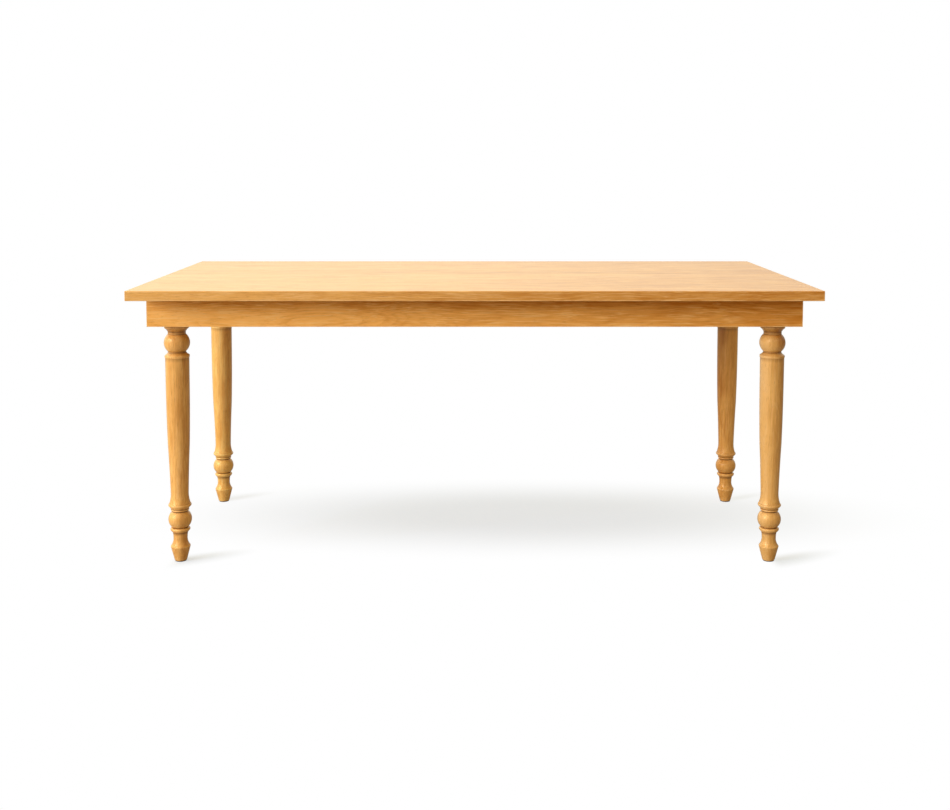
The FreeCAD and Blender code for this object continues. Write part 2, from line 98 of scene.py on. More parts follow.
# Paces in millimetres at which an outline is walked, on its straight lines, on curves that
# stand out less than SHALLOW, and on its other curves
STRAIGHT_PACE = 12.0
SHALLOW_PACE = 9.0
SHALLOW = 1.0
CURVE_PACE = 1.6
MOST_PACES = 30
# Corners of an outline that turn by more than this are rubbed back, over at most this share of
# the lines that meet there
RUBBED_TURN = math.radians(14)
RUBBED_SHARE = 0.4
# Faces that meet at more than this keep a sharp edge between them
SHARP_TURN = math.radians(40)
# How far to each side, in millimetres, a point is compared with its surroundings
FINE_REACH = 1.4
COARSE_REACH = 5.0
BROAD_REACH = 11.0
RELIEF_GAIN = 1.6

# Rows of a felt glide from its underside up, as shares of its radius and of its thickness
GLIDE_ROWS = ((0.6, 0.0), (0.93, 0.0), (0.985, 0.12), (1.0, 0.30), (0.995, 0.6), (1.0, 0.85),
              (0.985, 1.0), (0.6, 1.0))
FRAY = 0.006  # half the depth of the waves cut into its rim, as a share of its radius
FRAY_WAVES = 17
FRAY_TWIST = 9

# Relief of the wood's surface, in metres
PORE_DEPTH = 0.00005
FIBRE_HEIGHT = 0.00001
RING_DEPTH = 0.000012
LACQUER_RIPPLE = 0.000012
# Where plain wood lies between pale (0) and deep (1)
PLAIN_DEPTH = 0.28
# How far below a shading edge the painted shadow line of its crevice reaches, and how deep that
# painted shadow is
CREVICE = 0.004
CREVICE_DEPTH = 0.5

# The studio, in metres: the floor, its broad shadow and the short shadow of each foot
FLOOR_HALF = 40.0
LIT_FLOOR = (0.765, 0.885, 1.0)
SHADOW_CENTRE = (0.17, 0.14, 0.0)
SHADOW_SHAPE = (0.82, 2.4, 0.0)
FOOT_SHADOW_START = 0.02
FOOT_SHADOW_SLANT = 0.45
FOOT_SHADOW_SHAPE = (4.7, 15.0)
FOOT_SHADOW_DEPTH = 0.43
# Ways from the table to the bright wall and to the window that its lacquer mirrors
WALL_WAY = (-0.81, -0.54, 0.23)
WINDOW_WAY = (-0.72, -0.52, 0.46)
# Name, place, width and height, colour, and the setting that gives the power
LAMPS = (
    ("side_softbox", (-12.4, -8.3, 4.5), (7.0, 5.5), (0.93, 1.0, 1.38), "key_power"),
    ("overhead_softbox", (-0.6, -0.3, 4.6), (3.2, 2.4), (1.0, 1.0, 1.0), "top_power"),
)
LAMP_TARGET = (0.0, 0.0, 0.5)
CAMERA_PLACE = (-0.0017, -3.5685, 1.1046)
CAMERA_DIP = 0.0765  # radians below level
CAMERA_SHIFT = (0.0010, -0.163)
SENSOR_WIDTH = 36.0


class OakSettings(bpy.types.PropertyGroup):
    """Colours and grain of the oak."""
    pale: FloatVectorProperty(
        name="Pale wood", description="Late wood, between the rows of pores",
        subtype="COLOR", size=3, min=0.0, max=1.0, default=(0.88, 0.455, 0.118))
    deep: FloatVectorProperty(
        name="Deep wood", description="Early wood and the darker streaks",
        subtype="COLOR", size=3, min=0.0, max=1.0, default=(0.52, 0.174, 0.009))
    pore: FloatVectorProperty(
        name="Pores", description="Lacquer and dust that darken the open pores",
        subtype="COLOR", size=3, min=0.0, max=1.0, default=(0.30, 0.095, 0.008))
    ring_width: FloatProperty(
        name="Ring width", description="Growth of one year", unit="LENGTH",
        min=0.001, max=0.02, default=0.0031)
    figure: FloatProperty(
        name="Figure", description="How strongly the growth rings show",
        subtype="FACTOR", min=0.0, max=1.0, default=0.16)
    gloss: FloatProperty(
        name="Lacquer roughness", description="Roughness of the satin lacquer",
        subtype="FACTOR", min=0.0, max=1.0, default=0.46)
    coat: FloatProperty(
        name="Lacquer coat", description="Weight of the clear coat over the wood",
        subtype="FACTOR", min=0.0, max=1.0, default=0.35)


class TurningSettings(bpy.types.PropertyGroup):
    """How finely the legs and glides are turned."""
    sides: IntProperty(
        name="Sides", description="Faces round a leg or glide", min=24, max=256, default=96)
    arris: FloatProperty(
        name="Softened edges", description="How far each sharp edge is rubbed back",
        unit="LENGTH", min=0.0, max=0.002, default=0.0004)


class StudioSettings(bpy.types.PropertyGroup):
    """Lights, floor and camera."""
    key_power: FloatProperty(
        name="Side light", description="Power of the large soft light at the left",
        unit="POWER", min=0.0, default=1800.0)
    top_power: FloatProperty(
        name="Overhead light", description="Power of the soft light above",
        unit="POWER", min=0.0, default=75.0)
    ambient: FloatProperty(
        name="Room light", description="Level of the even light from all round",
        min=0.0, max=2.0, default=0.63)
    floor_bounce: FloatProperty(
        name="Floor", description="How much light the floor gives back",
        subtype="FACTOR", min=0.0, max=1.0, default=0.37)
    shadow: FloatProperty(
        name="Shadow depth", description="How dark the shadow on the pale floor gets",
        subtype="FACTOR", min=0.0, max=1.0, default=0.41)
    lens: FloatProperty(
        name="Lens", description="Focal length of the camera", unit="CAMERA",
        min=10.0, max=200.0, default=46.29)


class Graph:
    """The nodes of one material, world or node group."""

    def __init__(self, tree):
        self.tree = tree

    def feed(self, node, values):
        """A node's inputs, by name or number, linked to other sockets or set to plain values."""
        for key, value in dict(values).items():
            if isinstance(value, bpy.types.NodeSocket):
                self.tree.links.new(value, node.inputs[key])
            else:
                node.inputs[key].default_value = value

    def node(self, kind, inputs=(), **settings):
        """A node with its settings, and with its inputs fed."""
        node = self.tree.nodes.new("ShaderNode" + kind)
        count = len(self.tree.nodes)
        node.location = (190 * (count % 14), -260 * (count // 14))
        for name, value in settings.items():
            setattr(node, name, value)
        self.feed(node, inputs)
        return node

    def out(self, kind, inputs=(), **settings):
        """The first output of a new node."""
        return self.node(kind, inputs, **settings).outputs[0]

    def group(self, tree, inputs):
        """A node group as a node, with its inputs fed."""
        return self.node("Group", inputs, node_tree=tree)

    def math(self, operation, *values, clamp=False):
        """One sum on numbers."""
        return self.out("Math", enumerate(values), operation=operation, use_clamp=clamp)

    def plus(self, *values):
        """All the values added up."""
        return functools.reduce(functools.partial(self.math, "ADD"), values)

    def times(self, *values):
        """All the values multiplied."""
        return functools.reduce(functools.partial(self.math, "MULTIPLY"), values)

    def minus(self, first, second):
        """The first value less the second."""
        return self.math("SUBTRACT", first, second)

    def vector(self, operation, *values):
        """One sum on vectors. A length or a dot product comes back as a number."""
        node = self.node("VectorMath", enumerate(values), operation=operation)
        return node.outputs[1 if operation in ("LENGTH", "DOT_PRODUCT") else 0]

    def parts(self, vector):
        """X, Y and Z of a vector."""
        return self.node("SeparateXYZ", {0: vector}).outputs

    def place(self):
        """Object coordinates, in metres."""
        return self.node("TexCoord").outputs["Object"]

    def noise(self, place, scale, detail=2.0, roughness=0.5, distortion=0.0):
        """Soft noise about a half, its place stretched by a scale for each axis."""
        stretched = self.vector("MULTIPLY", place, scale)
        return self.out("TexNoise", {"Vector": stretched, "Scale": 1.0, "Detail": detail,
                                     "Roughness": roughness, "Distortion": distortion})

    def stray(self, place, scale, amount):
        """A way that wanders with the place, by an amount for each axis."""
        stretched = self.vector("MULTIPLY", place, scale)
        noise = self.node("TexNoise", {"Vector": stretched, "Scale": 1.0, "Detail": 2.0})
        swing = self.vector("SUBTRACT", noise.outputs[1], (0.5, 0.5, 0.5))
        return self.vector("MULTIPLY", swing, amount)

    def swing(self, value, amount):
        """Noise about a half turned into a swing about nothing."""
        return self.times(self.minus(value, 0.5), amount)

    def band(self, value, low, high, start=0.0, end=1.0):
        """A smooth change from start to end while the value goes from low to high."""
        return self.out("MapRange", {"Value": value, "From Min": low, "From Max": high,
                                     "To Min": start, "To Max": end},
                        interpolation_type="SMOOTHSTEP")

    def mix(self, share, first, second):
        """One colour laid over another."""
        node = self.node("Mix", data_type="RGBA", clamp_factor=True)
        self.feed(node, {0: share, 6: first, 7: second})
        return node.outputs[2]

    def blend(self, share, first, second):
        """One shader mixed with another."""
        return self.out("MixShader", {0: share, 1: first, 2: second})

    def bump(self, height):
        """The normal of a surface with a height in metres."""
        return self.out("Bump", {"Height": height, "Distance": 1.0, "Strength": 1.0})

    def seen(self):
        """Light paths, and one on the rays that the camera sees straight or through glass."""
        path = self.node("LightPath").outputs
        return path, self.math("MAXIMUM", path["Is Camera Ray"], path["Is Transmission Ray"])


def blank_graph(owner):
    """The emptied graph of a material or world."""
    owner.use_nodes = True
    owner.node_tree.nodes.clear()
    return Graph(owner.node_tree)


def new_material(name, **values):
    """A material with only its Principled shader, whose plain values are set on its sockets."""
    material = bpy.data.materials.new(name)
    g = blank_graph(material)
    shader = g.node("BsdfPrincipled", {label.replace("_", " "): value
                                       for label, value in values.items()})
    g.node("OutputMaterial", {0: shader.outputs[0]})
    return material, g, shader


def new_group(name, inputs, outputs):
    """A node group with named sockets: its graph, the sockets that come in and its end node."""
    tree = bpy.data.node_groups.new(name, "ShaderNodeTree")
    for label, kind, value in inputs:
        socket = tree.interface.new_socket(label, in_out="INPUT", socket_type="NodeSocket" + kind)
        if value is not None:
            socket.default_value = value
    for label, kind in outputs:
        tree.interface.new_socket(label, in_out="OUTPUT", socket_type="NodeSocket" + kind)
    source = tree.nodes.new("NodeGroupInput")
    sink = tree.nodes.new("NodeGroupOutput")
    return Graph(tree), source.outputs, sink


def shared(build):
    """A node group that is built when it is first asked for, and used again after that."""
    @functools.wraps(build)
    def group():
        name = build.__name__.replace("_", " ")
        if name not in bpy.data.node_groups:
            build(name)
        return bpy.data.node_groups[name]
    return group


def opaque(colour):
    """A colour with full alpha, as sockets want it."""
    return (*colour[:3], 1.0)


def shaded(colour, tone, cool=1.0):
    """A colour made lighter by its tone, and less yellow where cool is over one."""
    return opaque((min(colour[0] * tone, 1.0), min(colour[1] * tone * cool, 1.0),
                   min(colour[2] * tone * cool ** 4, 1.0)))


@shared
def oak_figure(name):
    """Oak as a solid: growth rings about a pith, pores, rays and streaks along the grain, deepened
    or paled by the painted shading that comes in.
    """
    g, source, sink = new_group(name, (
        ("Grain", "Vector", None), ("Pale", "Color", opaque((0.8, 0.5, 0.2))),
        ("Deep", "Color", opaque((0.5, 0.25, 0.08))),
        ("Cream", "Color", opaque((0.95, 0.7, 0.4))), ("Pore", "Color", opaque((0.3, 0.1, 0.02))),
        ("Ring Width", "Float", 0.004), ("Figure", "Float", 0.5), ("Pores", "Float", 0.6),
        ("Rays", "Float", 0.3), ("Streaks", "Float", 0.5), ("Fibres", "Float", 1.0),
        ("Drift", "Float", 0.0), ("Roughness", "Float", 0.4),
    ), (("Color", "Color"), ("Roughness", "Float"), ("Height", "Float")))
    place, painted_shading = source["Grain"], source["Drift"]

    # The pith wanders along the board, and the rings wave about it
    centred = g.vector("ADD", place, g.stray(place, (0.9, 2.0, 2.0), (0.0, 0.085, 0.085)))
    radius = g.vector("LENGTH", g.vector("MULTIPLY", centred, (0.0, 1.0, 1.0)))
    wave = g.swing(g.noise(centred, (3.0, 12.0, 12.0), 3.0), 0.010)
    ripple = g.swing(g.noise(centred, (14.0, 70.0, 70.0), roughness=0.6), 0.0030)
    radius = g.plus(radius, g.plus(wave, ripple))

    # Rings of uneven width: a sharp row of pores that fades into the late wood
    uneven = g.out("TexNoise", {"W": g.times(radius, 70.0), "Scale": 1.0, "Detail": 1.0},
                   noise_dimensions="1D")
    years = g.plus(g.math("DIVIDE", radius, source["Ring Width"]), g.swing(uneven, 3.0))
    season = g.math("FRACT", years)
    early = g.times(g.band(season, 0.0, 0.10), g.band(season, 0.16, 0.75, 1.0, 0.0))
    faint = g.band(g.noise(place, (1.1, 9.0, 9.0)), 0.34, 0.66, 0.35, 1.0)
    rings = g.times(early, faint, source["Figure"])

    # Streaks from broad patches to fine fibres, bent a little as fibres are
    bent = g.vector("ADD", centred, g.stray(place, (6.0, 16.0, 16.0), (0.0, 0.010, 0.010)))
    broad = g.swing(g.noise(centred, (1.3, 15.0, 15.0), roughness=0.55), 1.0)
    mottle = g.swing(g.noise(bent, (11.0, 52.0, 52.0), 3.0, 0.6), 1.4)
    middle = g.swing(g.noise(bent, (5.0, 140.0, 140.0), roughness=0.6), 0.75)
    dashes = g.swing(g.noise(bent, (10.0, 330.0, 330.0), roughness=0.65), 1.0)
    fibres = g.swing(g.noise(bent, (24.0, 1000.0, 1000.0), roughness=0.6), 0.8)
    fine = g.times(g.plus(dashes, fibres), source["Fibres"])
    streaks = g.plus(g.plus(broad, middle), g.plus(mottle, fine))
    # Painted light and shade come in here: the painted shading deepens the wood or pales it
    depth = g.plus(g.times(streaks, source["Streaks"]), rings, painted_shading, PLAIN_DEPTH)

    # Rays lie on the planes that pass through the pith
    along, across, above = g.parts(centred)
    turn = g.math("ARCTAN2", above, across)
    flat = g.out("CombineXYZ", {0: along, 1: radius, 2: turn})
    rays = g.band(g.noise(flat, (26.0, 75.0, 62.0), roughness=0.6), 0.60, 0.70)
    rays = g.times(rays, source["Rays"])

    # Open pores, closest in the early wood, and pale fibres, fewer where painted shading deepens
    # the wood. Where the wood comes out paler than pale it turns cream, which on a side painted
    # paler is a painted highlight
    pits = g.band(g.noise(centred, (48.0, 1500.0, 1500.0), 1.0), 0.58, 0.68)
    pits = g.times(pits, g.band(early, 0.0, 1.0, 0.25, 1.0), source["Pores"])
    pale = g.band(g.noise(bent, (10.0, 430.0, 430.0), roughness=0.55), 0.50, 0.66)
    pale = g.times(pale, g.band(mottle, -0.1, 0.25, 1.0, 0.4), g.band(painted_shading, 0.1, 0.8, 0.6, 0.2),
                   source["Fibres"])
    pale = g.math("MAXIMUM", pale, g.times(depth, -1.2), clamp=True)

    colour = g.mix(depth, source["Pale"], source["Deep"])
    colour = g.mix(pale, colour, source["Cream"])
    colour = g.mix(g.times(rays, 0.4), colour, source["Cream"])
    colour = g.mix(pits, colour, source["Pore"])
    cloudy = g.swing(g.noise(place, (9.0, 22.0, 22.0)), 0.10)
    rough = g.plus(source["Roughness"], g.times(pits, 0.16), cloudy, g.times(rays, -0.05))
    height = g.plus(g.times(pits, -PORE_DEPTH), g.times(fibres, FIBRE_HEIGHT),
                    g.times(rings, -RING_DEPTH))
    g.feed(sink, {"Color": colour, "Roughness": rough, "Height": height})


@shared
def arris_mask(name):
    """One on the long edges of a box, fading over a short reach."""
    g, source, sink = new_group(name, (
        ("Place", "Vector", None), ("Centre", "Vector", None), ("Half Size", "Vector", None),
        ("Reach", "Float", 0.003),
    ), (("Edge", "Float"),))
    place = source["Place"]
    away = g.vector("ABSOLUTE", g.vector("SUBTRACT", place, source["Centre"]))
    x, y, z = g.parts(g.vector("SUBTRACT", source["Half Size"], away))
    nearer, further = g.math("MINIMUM", x, y), g.math("MAXIMUM", x, y)
    second = g.math("MAXIMUM", nearer, g.math("MINIMUM", further, z))
    uneven = g.band(g.noise(place, (14.0, 14.0, 40.0), 3.0), 0.3, 0.7, 0.5, 1.5)
    reach = g.times(source["Reach"], uneven)
    g.feed(sink, {"Edge": g.band(g.math("DIVIDE", second, reach), 0.3, 1.0, 1.0, 0.0)})


@shared
def finish_with_painted_light(name):
    """Lacquered wood as it is used: stain and painted shade in the hollows, and edges made paler
    by wear and by painted highlight.
    """
    g, source, sink = new_group(name, (
        ("Color", "Color", None), ("Roughness", "Float", 0.4), ("Height", "Float", 0.0),
        ("Place", "Vector", None), ("Edge", "Float", 0.0), ("Hollow", "Float", 0.0),
        ("Rubbed", "Color", opaque((0.9, 0.6, 0.3))), ("Stain", "Color", opaque((0.3, 0.1, 0.02))),
    ), (("Color", "Color"), ("Roughness", "Float"), ("Height", "Float")))
    place = source["Place"]
    blotch = g.noise(place, (45.0, 45.0, 45.0), 3.0, 0.6)
    worn_and_highlit = g.times(source["Edge"], g.band(blotch, 0.30, 0.65, 0.25, 0.75))
    stain_and_shade = g.times(source["Hollow"], g.band(blotch, 0.30, 0.70, 1.0, 0.85))
    colour = g.mix(worn_and_highlit, source["Color"], source["Rubbed"])
    colour = g.mix(stain_and_shade, colour, source["Stain"])
    scuffs = g.band(g.noise(place, (30.0, 30.0, 30.0), 4.0, 0.65), 0.55, 0.75)
    rough = g.plus(source["Roughness"], g.times(scuffs, 0.04), g.times(stain_and_shade, 0.12),
                   g.times(worn_and_highlit, -0.05))
    ripple = g.swing(g.noise(place, (260.0, 260.0, 260.0)), LACQUER_RIPPLE)
    g.feed(sink, {"Color": colour, "Roughness": rough,
                  "Height": g.plus(source["Height"], ripple)})


def up_the_grain(g, place, along, pith, start):
    """A place turned so that X runs up the grain and the pith is its axis."""
    along = Vector(along).normalized()
    upright = abs(along.z) >= 0.8
    side = Vector((0, 1, 0) if upright else (0, 0, 1)).cross(along).normalized()
    turn = Matrix((along, side, along.cross(side)))
    shift = Vector((start, 0, 0)) - turn @ (Vector(pith) * MILLIMETRE)
    return g.out("Mapping", {"Vector": place, "Rotation": turn.to_euler(), "Location": shift})


def painted_shade_depth(g, x, z, middle, painted_shading, painted_shade_band):
    """Painted shading: how much deeper than plain the wood is painted. It is deeper along X past
    the middle and paler before it, and deeper up to an edge that shades it, with a painted shadow
    line just under that edge.
    """
    painted_deepening = g.times(g.minus(x, middle), painted_shading)
    if painted_shade_band:
        low, high, amount = painted_shade_band
        painted_deepening = g.plus(painted_deepening, g.band(z, low, high, 0.0, amount),
                        g.band(z, high - CREVICE, high, 0.0, CREVICE_DEPTH))
    return painted_deepening


def oak_material(name, along, pith, start, tone=1.0, cool=1.0, *, box=None, reach=0.003,
                 turned=False, sides=0.0, painted_shading=0.0, middle=0.0, painted_shade_band=None, pores=0.5,
                 rays=0.35, streaks=0.75, fibres=0.9, figure=None, roughness=None, coat=None,
                 polish=0.36, mirror=0.5):
    """Oak of one piece, with its own place in the tree and its own tone.

    The grain runs along a direction, about a pith given in millimetres, and starts that many
    metres up the tree. A box or the marks of a turned piece tell where edges are made paler, as
    wear and as painted highlight, and the marks also tell where hollows take stain and painted
    shade. Sides paint the upright faces deeper, more so towards the right, as painted shade, and
    calm their grain. The wood is also painted paler on one side of the middle and deeper on the
    other, and deeper up to a shading edge: painted light and shade.
    """
    oak = bpy.context.scene.table_oak
    material, g, shader = new_material(
        name, Coat_Weight=oak.coat if coat is None else coat, Coat_Roughness=polish,
        Coat_IOR=1.4, Coat_Tint=opaque((1.0, 0.97, 0.82)), IOR=1.45, Specular_IOR_Level=mirror)
    place = g.place()
    x, _, z = g.parts(place)
    painted_deepening = painted_shade_depth(g, x, z, middle, painted_shading, painted_shade_band)
    # Painted shade: the upright faces are painted deeper, more so towards the right
    if sides:
        normal = g.node("NewGeometry").outputs["Normal"]
        upward = g.parts(g.vector("ABSOLUTE", normal))[2]
        painted_deepening = g.plus(painted_deepening, g.times(g.band(x, -0.9, 0.3, 0.1, 1.0),
                                        g.band(upward, 0.0, 0.9, sides, 0.0)))
        streaks = g.band(upward, 0.0, 0.9, 0.6 * streaks, streaks)
    wood = g.group(oak_figure(), {
        "Grain": up_the_grain(g, place, along, pith, start),
        "Pale": shaded(oak.pale, tone, cool), "Deep": shaded(oak.deep, tone, cool),
        "Cream": shaded(oak.pale, 1.08 * tone, 1.15 * cool), "Pore": opaque(oak.pore),
        "Ring Width": oak.ring_width, "Figure": oak.figure if figure is None else figure,
        "Pores": pores, "Rays": rays, "Streaks": streaks, "Fibres": fibres, "Drift": painted_deepening,
        "Roughness": oak.gloss if roughness is None else roughness}).outputs
    finish = g.group(finish_with_painted_light(), {
        "Color": wood["Color"], "Roughness": wood["Roughness"], "Height": wood["Height"],
        "Place": place, "Rubbed": shaded(oak.pale, 1.12 * tone, 1.14),
        "Stain": shaded(oak.pore, 0.75)})
    if box:
        centre, half = box
        mask = g.group(arris_mask(), {"Place": place, "Centre": centre, "Half Size": half,
                                      "Reach": reach})
        g.feed(finish, {"Edge": mask.outputs["Edge"]})
    if turned:
        for label, mark in (("Edge", "edge"), ("Hollow", "hollow")):
            mask = g.node("Attribute", attribute_name=mark)
            g.feed(finish, {label: mask.outputs["Fac"]})
    g.feed(shader, {"Base Color": finish.outputs["Color"],
                    "Roughness": finish.outputs["Roughness"],
                    "Normal": g.bump(finish.outputs["Height"])})
    return material


def dress(node, material):
    """The frame's own shape keeps its place and gets its finish."""
    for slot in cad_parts[node].material_slots:
        slot.material = material


def box_of(*nodes):
    """Centre and half size of the box that holds some nodes, in metres."""
    corners = [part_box(node) for node in nodes]
    low = Vector([min(pair[0][axis] for pair in corners) for axis in range(3)])
    high = Vector([max(pair[1][axis] for pair in corners) for axis in range(3)])
    return (low + high) / 2, (high - low) / 2


def outline(start, moves):
    """Points of a turned outline, radius and height in millimetres, close set on its curves."""
    points = [Vector(start)]
    for kind, *sizes in moves:
        here = points[-1]
        if kind == "step":
            points.append(Vector((sizes[0], here.y)))
            continue
        rise = sizes[0]
        end = Vector((sizes[1], here.y + rise))
        if kind == "cove":
            reach = abs(end.x - here.x)
            bulge = -math.hypot(rise, reach) / 2 * math.tan(math.atan2(reach, rise) / 2)
        else:
            bulge = sizes[2]
        points += arc(here, end, bulge)
    return points


def arc(here, end, bulge):
    """Points after the first on an arc that stands out from its chord by the bulge."""
    chord = end - here
    length = chord.length
    if abs(bulge) < TINY:
        count = max(1, round(length / STRAIGHT_PACE))
        return [here + chord * (step / count) for step in range(1, count + 1)]
    pace = CURVE_PACE if abs(bulge) > SHALLOW else SHALLOW_PACE
    count = max(2, min(MOST_PACES, round(length / pace)))
    radius = (length * length / 4 + bulge * bulge) / (2 * abs(bulge))
    outward = Vector((chord.y, -chord.x)).normalized() * math.copysign(1, bulge)
    centre = (here + end) / 2 + outward * (abs(bulge) - radius)
    first = here - centre
    sweep = 2 * math.asin(min(1.0, length / 2 / radius))
    turn = -1 if first.x * (end - centre).y - first.y * (end - centre).x < 0 else 1
    points = []
    for step in range(1, count + 1):
        angle = turn * sweep * step / count
        points.append(centre + Vector((first.x * math.cos(angle) - first.y * math.sin(angle),
                                       first.x * math.sin(angle) + first.y * math.cos(angle))))
    points[-1] = end
    return points


def softened(points, size):
    """The outline with each sharp corner rubbed back to a short round."""
    result = [points[0]]
    for before, here, after in zip(points, points[1:], points[2:]):
        come, go = here - before, after - here
        if min(come.length, go.length) < TINY or come.angle(go) < RUBBED_TURN:
            result.append(here)
            continue
        reach = min(size, come.length * RUBBED_SHARE, go.length * RUBBED_SHARE)
        start = here - come.normalized() * reach
        end = here + go.normalized() * reach
        if come.length > 4 * reach:
            result.append(start - come.normalized() * reach)
        result += [start, (start + end) / 4 + here / 2, end]
        if go.length > 4 * reach:
            result.append(end + go.normalized() * reach)
    result.append(points[-1])
    return result


def relief(points, reach):
    """How far each point of an outline stands out of its surroundings, from -1 to 1."""
    line = np.array([tuple(point) for point in points])
    run = np.concatenate(([0.0], np.cumsum(np.linalg.norm(np.diff(line, axis=0), axis=1))))
    before, after = (np.stack([np.interp(run + way, run, line[:, axis]) for axis in (0, 1)],
                              axis=1) for way in (-reach, reach))
    chord = after - before
    length = np.maximum(np.linalg.norm(chord, axis=1), TINY)
    outward = np.stack([chord[:, 1], -chord[:, 0]], axis=1) / length[:, None]
    standing = ((line - (before + after) / 2) * outward).sum(axis=1)
    return np.clip(standing / reach * RELIEF_GAIN, -1.0, 1.0)


def wear_and_painted_light_marks(points):
    """How much each point of an outline is made paler as an edge, by wear and by painted
    highlight, and darker as a hollow.

    Narrow grooves take a deep stain; broad hollows take a faint painted shade.
    """
    fine, coarse, broad = (relief(points, reach)
                           for reach in (FINE_REACH, COARSE_REACH, BROAD_REACH))
    edges = np.clip(fine * 1.3 + coarse * 0.4, 0.0, 1.0)
    narrow = np.clip(-fine * 1.8, 0.0, 1.0) * np.clip(-coarse * 3.4 - 0.25, 0.0, 1.0)
    painted_broad_shade = np.clip(-broad * 1.7 - 0.35, 0.0, 1.0)
    return edges, np.clip(narrow + 0.35 * painted_broad_shade, 0.0, 1.0)


def angles_round(sides):
    """Angles of the points of a ring."""
    return [2 * math.pi * index / sides for index in range(sides)]


def block_section(signs, sides):
    """Points round a leg's square block, in millimetres, with a facet towards the middle."""
    half = BLOCK_SIDE / 2
    facet = half - BLOCK_FACET
    right, back = signs
    section = []
    for angle in angles_round(sides):
        x, y = math.cos(angle), math.sin(angle)
        reach = min(half / max(abs(x), TINY), half / max(abs(y), TINY))
        inward = -x * right - y * back
        if inward > TINY:
            reach = min(reach, (half + facet) / inward)
        section.append((x * reach, y * reach))
    # The nearest points move into the block's corners
    for x, y in ((half * right, half * back), (half * right, -half * back),
                 (-facet * right, -half * back), (-half * right, -facet * back),
                 (-half * right, half * back)):
        angle = math.atan2(y, x) % (2 * math.pi)
        section[round(angle / (2 * math.pi) * sides) % sides] = (x, y)
    return section


def leg_rings(low, high, signs, turning):
    """Rings of a leg from its toe to the top of its block, with their edge and hollow marks."""
    centre = (low + high) / 2
    points = outline((TOE_RADIUS, low.z / MILLIMETRE), LEG_FOOT + LEG_SHAFT + LEG_HEAD)
    points = softened(points, turning.arris / MILLIMETRE)
    rings = [[(centre.x + point.x * math.cos(angle) * MILLIMETRE,
               centre.y + point.x * math.sin(angle) * MILLIMETRE, point.y * MILLIMETRE)
              for angle in angles_round(turning.sides)] for point in points]
    section = block_section(signs, turning.sides)
    for level in (points[-1].y * MILLIMETRE, high.z):
        rings.append([(centre.x + x * MILLIMETRE, centre.y + y * MILLIMETRE, level)
                      for x, y in section])
    edges, hollows = wear_and_painted_light_marks(points)
    return rings, {"edge": [*edges, 0.0, 0.0], "hollow": [*hollows, 0.0, 0.0]}


def glide_rings(low, high, sides):
    """Rings of a round felt glide, with a rim that is a little frayed."""
    centre = (low + high) / 2
    radius = (high.x - low.x) / 2
    thick = high.z - low.z
    rings = []
    for share, level in GLIDE_ROWS:
        ring = []
        for angle in angles_round(sides):
            wave = 1 + math.sin(angle * FRAY_WAVES + level * FRAY_TWIST)
            reach = radius * share * (1.0 - FRAY * wave * (level > 0))
            ring.append((centre.x + reach * math.cos(angle), centre.y + reach * math.sin(angle),
                         low.z + thick * level))
        rings.append(ring)
    return rings


def ring_mesh(name, rings, marks=None):
    """A closed skin over rings of points that all have the same count."""
    sides = len(rings[0])
    points = [tuple(point) for ring in rings for point in ring]
    last = len(points) - sides
    pairs = [(index, (index + 1) % sides) for index in range(sides)]
    faces = [(base + first, base + second, base + sides + second, base + sides + first)
             for base in range(0, last, sides) for first, second in pairs]
    for base, ring in ((0, rings[0]), (last, rings[-1])):
        middle = len(points)
        points.append(tuple(sum((Vector(point) for point in ring), Vector()) / sides))
        for first, second in pairs:
            spoke = (base + first, base + second) if base else (second, first)
            faces.append((*spoke, middle))
    mesh = bpy.data.meshes.new(name)
    mesh.from_pydata(points, [], faces)
    for label, rows in (marks or {}).items():
        layer = mesh.attributes.new(label, "FLOAT", "POINT")
        values = [value for value in rows for _ in range(sides)]
        values += [0.0] * (len(points) - len(values))
        layer.data.foreach_set("value", values)
    mesh.update()
    mesh.shade_smooth()
    mesh.set_sharp_from_angle(angle=SHARP_TURN)
    return mesh


def add_piece(name, mesh, material, slot, *nodes):
    """An object that stands for some nodes of the frame and rides with them."""
    piece = bpy.data.objects.new(name, mesh)
    bpy.context.scene.collection.objects.link(piece)
    mesh.materials.append(material)
    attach(piece, BODY)
    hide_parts(*nodes)
    return piece


class TABLE_OT_top_boards(bpy.types.Operator):
    """Six oak boards of the top, each from its own place in the tree"""
    bl_idname = "table.top_boards"
    bl_label = "Top boards"

    def execute(self, context):
        # The box is drawn out above the face, so that the face's own edges get no paler wear and
        # painted highlight
        centre, half = box_of(*("top_board_%d" % number for number in BOARDS))
        above = Vector((0, 0, half.z))
        box = (centre + above, half + above)
        plans = (
            # pith across, pith below the face, tilt across, tilt up, tone, coolness
            (-360, -70, 0.010, 0.020, 0.92, 1.00),
            (-250, -55, -0.012, 0.014, 0.90, 0.98),
            (-60, -90, 0.008, -0.018, 0.95, 1.02),
            (96, -48, 0.010, 0.015, 0.88, 0.97),
            (200, -85, -0.010, 0.020, 0.92, 1.01),
            (372, -60, 0.012, -0.014, 0.89, 0.99),
        )
        for number, (across, below, skew, climb, tone, cool) in zip(BOARDS, plans):
            # Painted shade: every board is painted deeper towards the right, and its upright faces
            # deeper still, more so to the right
            dress("top_board_%d" % number, oak_material(
                "oak_board_%d" % number, (1.0, skew, climb), (0, across, TOP_FACE + below),
                2.3 * number, tone, cool, box=box, reach=0.0035, sides=0.20, painted_shading=0.28,
                streaks=0.97, fibres=1.0, roughness=0.40, coat=0.45, polish=0.18))
        return {"FINISHED"}


